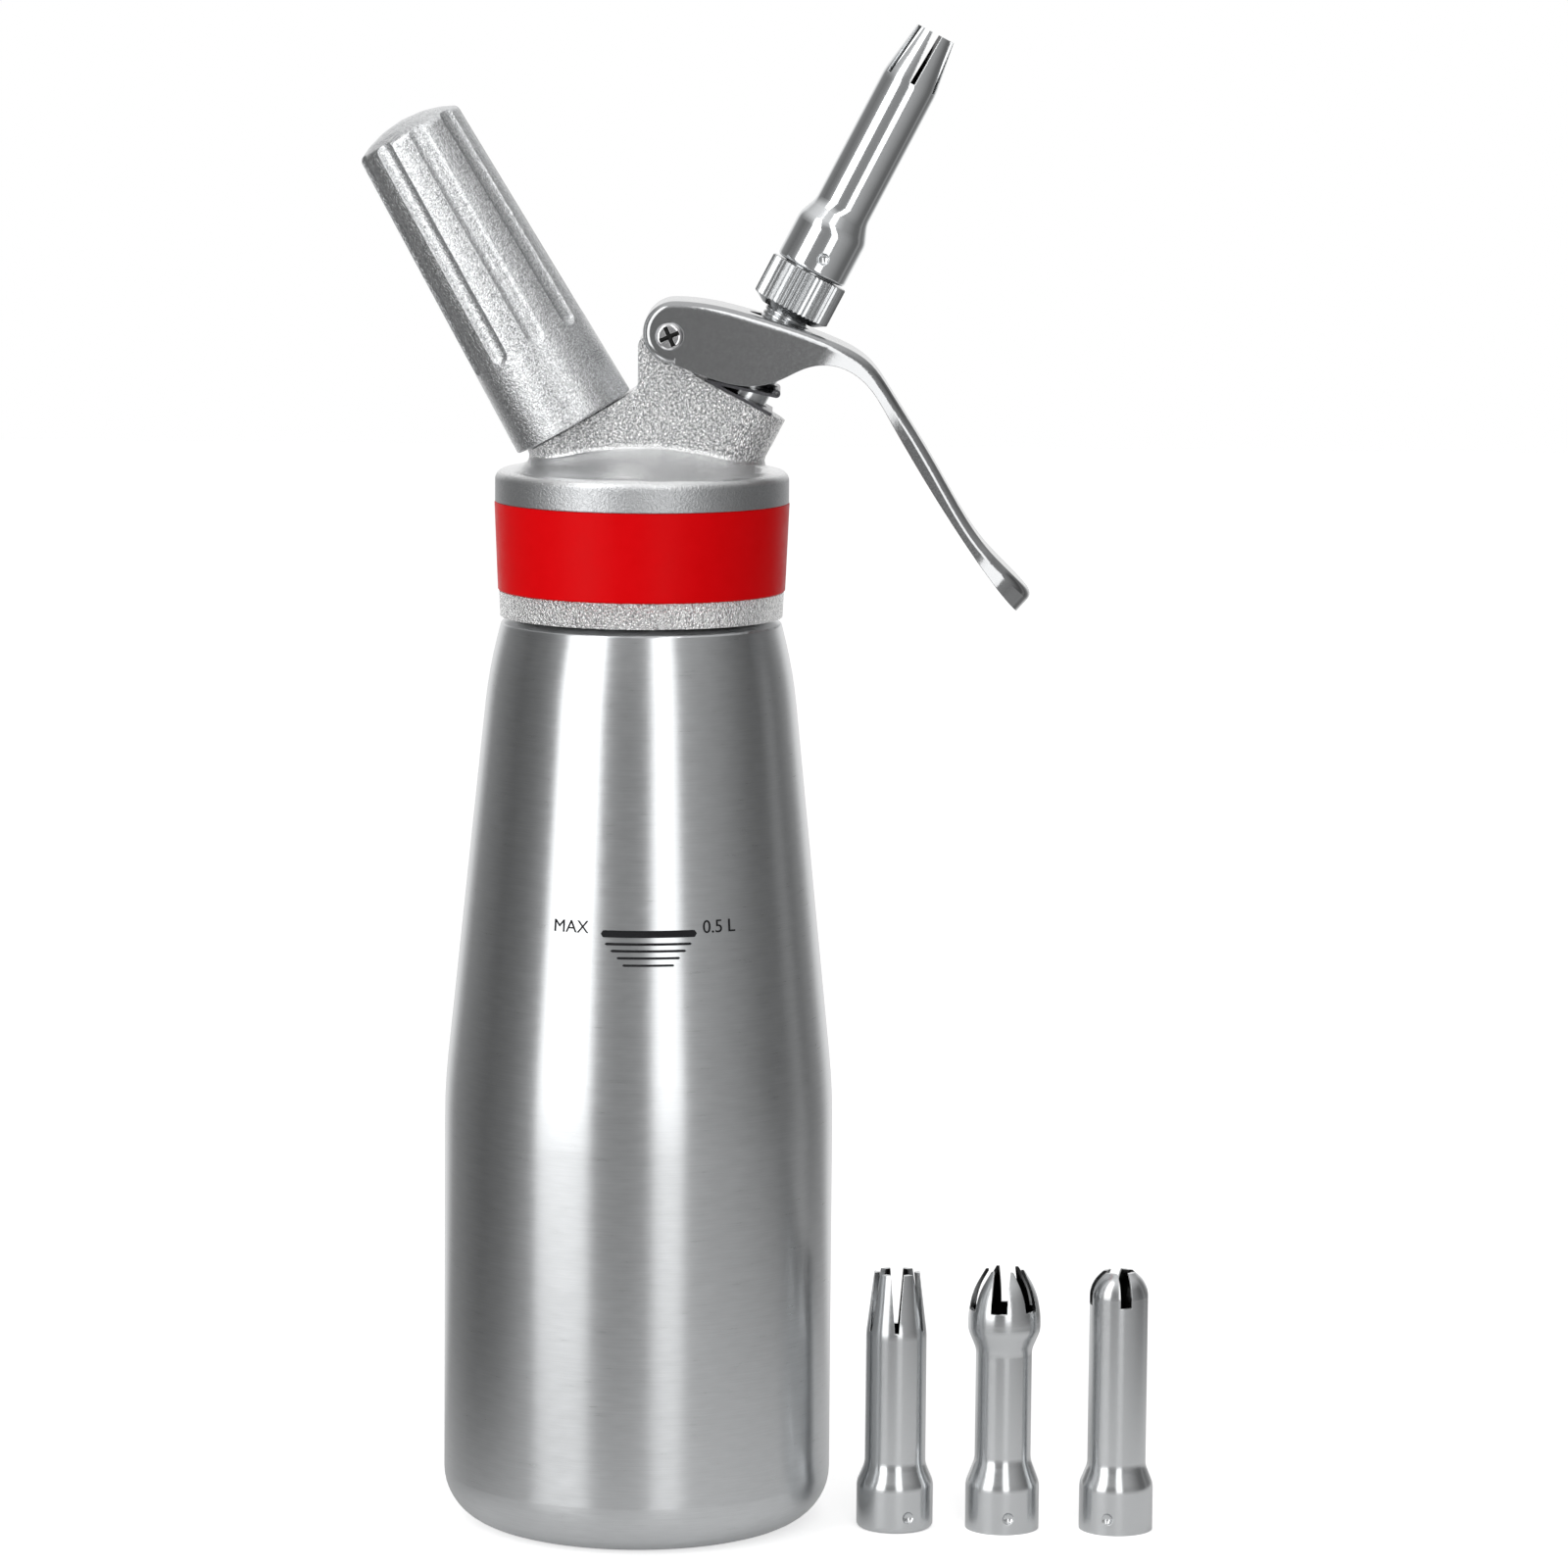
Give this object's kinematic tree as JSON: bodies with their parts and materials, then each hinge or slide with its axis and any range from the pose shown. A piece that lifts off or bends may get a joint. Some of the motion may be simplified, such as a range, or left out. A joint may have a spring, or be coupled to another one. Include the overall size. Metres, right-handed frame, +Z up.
{
  "type": "whipped cream dispenser",
  "caption": "Steel cream whipper: bottle with screw-on cast head, press lever, gas charger holder, petal nozzle and loose spare nozzles beside it.",
  "frame": {"origin": "centre of the bottle's flat base, on the table", "axes": "+Z up along the bottle's axis, +X towards the lever's handle, -Y towards the viewer and the pivot screw's head"},
  "size_m": [0.1702, 0.083, 0.3199],
  "materials": {
    "bottle_steel": "fine circumferential brushing",
    "cast_metal": "bright, sand-cast grain on the slab, smooth collar",
    "red_silicone": "satin",
    "holder_metal": "fine bead-blasted satin",
    "lever_steel": "polished sheet",
    "polished_steel": "polished",
    "satin_steel": "satin",
    "spring_steel": "satin",
    "charger_steel": "satin",
    "seal_rubber": "matt",
    "brass": "turned"
  },
  "bodies": {
    "bottle": {"bottle": "bottle_steel"},
    "gasket": {"head_gasket": "seal_rubber"},
    "head": {"head_body": "cast_metal", "grip_band": "red_silicone", "piercing_pin": "polished_steel", "charger_seal": "seal_rubber", "check_valve_sleeve": "seal_rubber", "valve_bush": "brass", "pivot_screw": "polished_steel", "pivot_barrel": "polished_steel", "lever_spring": "spring_steel"},
    "lever": {"lever": "lever_steel"},
    "valve": {"valve_stem": "polished_steel", "stem_o_rings": "seal_rubber", "valve_seal": "seal_rubber", "nozzle_adapter": "satin_steel"},
    "washer": {"nozzle_washer": "seal_rubber"},
    "nozzle": {"fitted_nozzle": "polished_steel"},
    "charger": {"gas_charger": "charger_steel"},
    "holder": {"charger_holder": "holder_metal"},
    "star": {"spare_nozzle_star": "satin_steel"},
    "tulip": {"spare_nozzle_tulip": "satin_steel"},
    "round": {"spare_nozzle_round": "satin_steel"}
  },
  "joints": [
    {"name": "head_rise", "type": "slide", "parent": "bottle", "child": "gasket", "axis": [0, 0, 1], "range_m": [0, 0.027]},
    {"name": "head_turn", "type": "hinge", "parent": "gasket", "child": "head", "pos_m": [0, 0, 0.2], "axis": [0, 0, 1], "range_deg": [0, 2180]},
    {"name": "valve_slide", "type": "slide", "parent": "head", "child": "valve", "axis": [-0.4602, 0, -0.8878], "range_m": [0, 0.0026]},
    {"name": "lever_press", "type": "hinge", "parent": "head", "child": "lever", "pos_m": [0.0058, 0, 0.2548], "axis": [0, 1, 0], "range_deg": [0, 10], "stiffness_Nm_per_rad": 1.15, "springref_deg": -4.98},
    {"name": "nozzle_rise", "type": "slide", "parent": "valve", "child": "washer", "axis": [0.4602, 0, 0.8878], "range_m": [0, 0.009]},
    {"name": "nozzle_turn", "type": "hinge", "parent": "washer", "child": "nozzle", "pos_m": [0.0212, 0, 0.2412], "axis": [0.4602, 0, 0.8878], "range_deg": [0, 364]},
    {"name": "holder_rise", "type": "slide", "parent": "head", "child": "charger", "axis": [-0.5, 0, 0.866], "range_m": [0, 0.01]},
    {"name": "holder_turn", "type": "hinge", "parent": "charger", "child": "holder", "pos_m": [-0.01425, 0, 0.23555], "axis": [-0.5, 0, 0.866], "range_deg": [0, 1818]},
    {"name": "star_lift", "type": "slide", "parent": "bottle", "child": "star", "axis": [0, 0, 1], "range_m": [0, 0.06]},
    {"name": "tulip_lift", "type": "slide", "parent": "bottle", "child": "tulip", "axis": [0, 0, 1], "range_m": [0, 0.06]},
    {"name": "round_lift", "type": "slide", "parent": "bottle", "child": "round", "axis": [0, 0, 1], "range_m": [0, 0.06]}
  ],
  "couplings": [
    {"joint": "head_turn", "follows": "head_rise", "rad_per_m": 1396.3},
    {"joint": "lever_press", "follows": "valve_slide", "rad_per_m": 66.667},
    {"joint": "nozzle_turn", "follows": "nozzle_rise", "rad_per_m": 698.13},
    {"joint": "holder_turn", "follows": "holder_rise", "rad_per_m": 3141.6}
  ]
}
